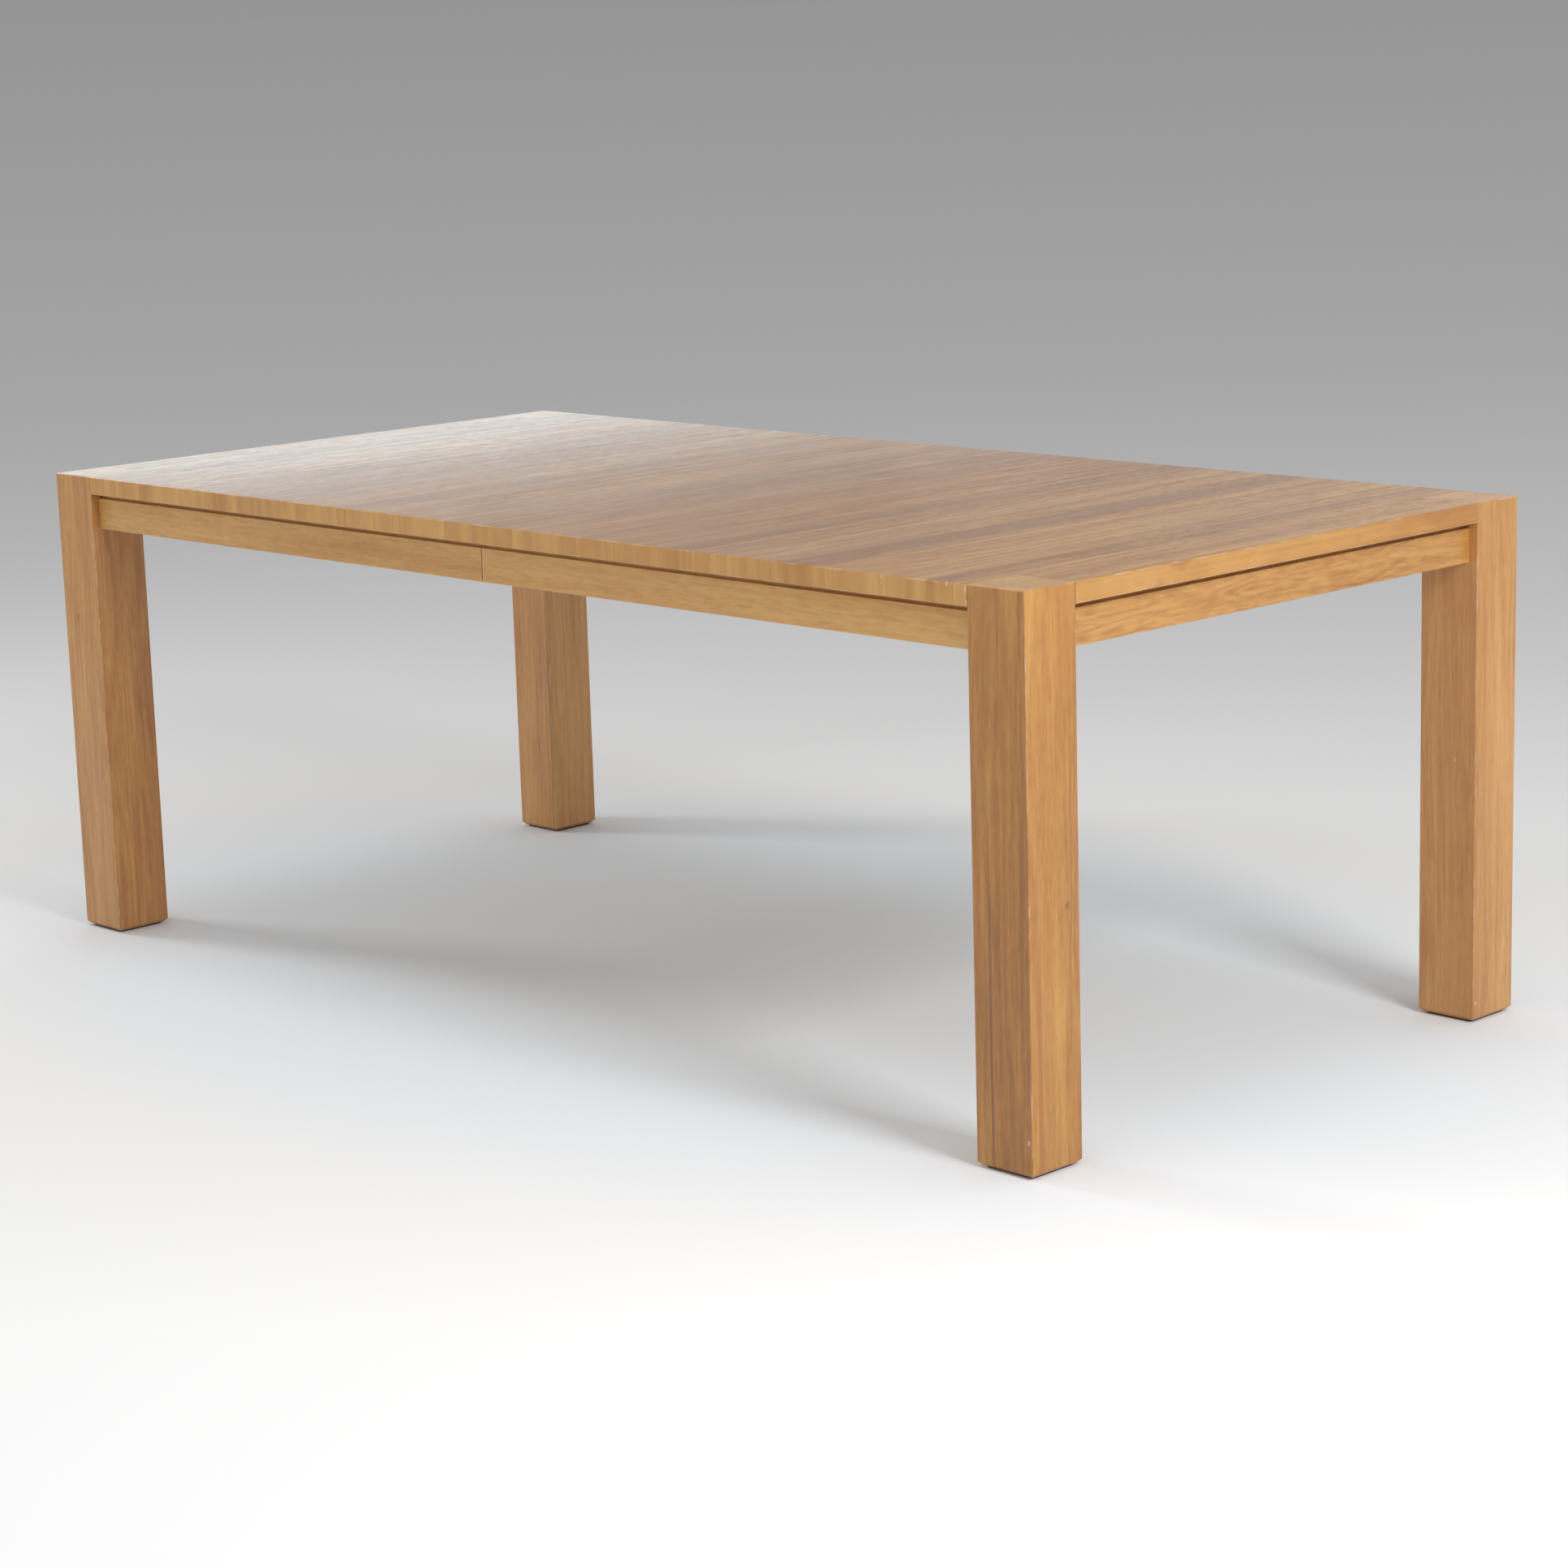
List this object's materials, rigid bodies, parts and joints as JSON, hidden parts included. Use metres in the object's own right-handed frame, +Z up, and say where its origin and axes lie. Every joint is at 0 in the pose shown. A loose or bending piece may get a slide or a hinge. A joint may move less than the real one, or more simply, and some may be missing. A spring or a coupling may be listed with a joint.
{
  "type": "extension dining table",
  "caption": "Rectangular oak dining table with square flush corner legs, a thin split top over a recessed apron, and geared slides that pull open from the centre.",
  "frame": {"origin": "centre of the closed table, on the floor", "axes": "+X along the length towards the half that slides out, +Y from the pictured long side to the other, +Z up"},
  "size_m": [2.132, 1.062, 0.766],
  "materials": {
    "oak": "satin lacquer, honey oak",
    "inner_wood": "planed, unlacquered hardwood",
    "dowel_wood": "plain beech",
    "steel": "zinc plated",
    "screws": "yellow zinc plated",
    "nylon": "moulded nylon",
    "felt": "dark felt"
  },
  "bodies": {
    "left_half": {"apron_back_left": "oak", "apron_end_left": "oak", "apron_front_left": "oak", "cleat_back_left": "inner_wood", "cleat_end_left": "inner_wood", "cleat_front_left": "inner_wood", "corner_block_back_left": "inner_wood", "corner_block_front_left": "inner_wood", "dowels_left": "dowel_wood", "flange_nuts_left": "steel", "foot_pads_left": "felt", "hanger_bolts_left": "steel", "leg_back_left": "oak", "leg_front_left": "oak", "lock_keeper_back": "steel", "lock_pivot_front": "steel", "lock_plate_front": "steel", "plate_screws_left": "screws", "rack_back_left": "nylon", "rack_front_left": "nylon", "rail_back_left": "inner_wood", "rail_front_left": "inner_wood", "seam_pins": "dowel_wood", "stop_pins_left": "steel", "top_left": "oak", "wood_screws_left": "screws"},
    "right_half": {"apron_back_right": "oak", "apron_end_right": "oak", "apron_front_right": "oak", "cleat_back_right": "inner_wood", "cleat_end_right": "inner_wood", "cleat_front_right": "inner_wood", "corner_block_back_right": "inner_wood", "corner_block_front_right": "inner_wood", "dowels_right": "dowel_wood", "flange_nuts_right": "steel", "foot_pads_right": "felt", "hanger_bolts_right": "steel", "leg_back_right": "oak", "leg_front_right": "oak", "lock_keeper_front": "steel", "lock_pivot_back": "steel", "lock_plate_back": "steel", "plate_screws_right": "screws", "rack_back_right": "nylon", "rack_front_right": "nylon", "rail_back_right": "inner_wood", "rail_front_right": "inner_wood", "stop_pins_right": "steel", "top_right": "oak", "wood_screws_right": "screws"},
    "centre_rail_front": {"centre_rail_front": "inner_wood", "pinion_axle_front": "steel"},
    "centre_rail_back": {"centre_rail_back": "inner_wood", "pinion_axle_back": "steel"},
    "pinion_front": {"pinion_front": "nylon"},
    "pinion_back": {"pinion_back": "nylon"},
    "lock_lever_front": {"lock_lever_front": "steel"},
    "lock_lever_back": {"lock_lever_back": "steel"}
  },
  "joints": [
    {"name": "right_half_slide", "type": "slide", "parent": "left_half", "child": "right_half", "axis": [1, 0, 0], "range_m": [0, 0.508]},
    {"name": "centre_rail_front_slide", "type": "slide", "parent": "left_half", "child": "centre_rail_front", "axis": [1, 0, 0], "range_m": [0, 0.254]},
    {"name": "centre_rail_back_slide", "type": "slide", "parent": "left_half", "child": "centre_rail_back", "axis": [1, 0, 0], "range_m": [0, 0.254]},
    {"name": "pinion_front_turn", "type": "hinge", "parent": "centre_rail_front", "child": "pinion_front", "pos_m": [0, -0.27, 0.7025], "axis": [0, 0, 1], "range_deg": [-809, 0]},
    {"name": "pinion_back_turn", "type": "hinge", "parent": "centre_rail_back", "child": "pinion_back", "pos_m": [0, 0.27, 0.7025], "axis": [0, 0, 1], "range_deg": [-809, 0]},
    {"name": "lock_front_turn", "type": "hinge", "parent": "left_half", "child": "lock_lever_front", "pos_m": [-0.032, -0.411, 0.73305], "axis": [0, 0, 1], "range_deg": [-90, 0]},
    {"name": "lock_back_turn", "type": "hinge", "parent": "right_half", "child": "lock_lever_back", "pos_m": [0.032, 0.411, 0.73305], "axis": [0, 0, 1], "range_deg": [-90, 0]}
  ],
  "couplings": [
    {"joint": "centre_rail_front_slide", "follows": "right_half_slide", "ratio": 0.5},
    {"joint": "centre_rail_back_slide", "follows": "right_half_slide", "ratio": 0.5},
    {"joint": "pinion_front_turn", "follows": "right_half_slide", "rad_per_m": -27.778},
    {"joint": "pinion_back_turn", "follows": "right_half_slide", "rad_per_m": -27.778}
  ]
}
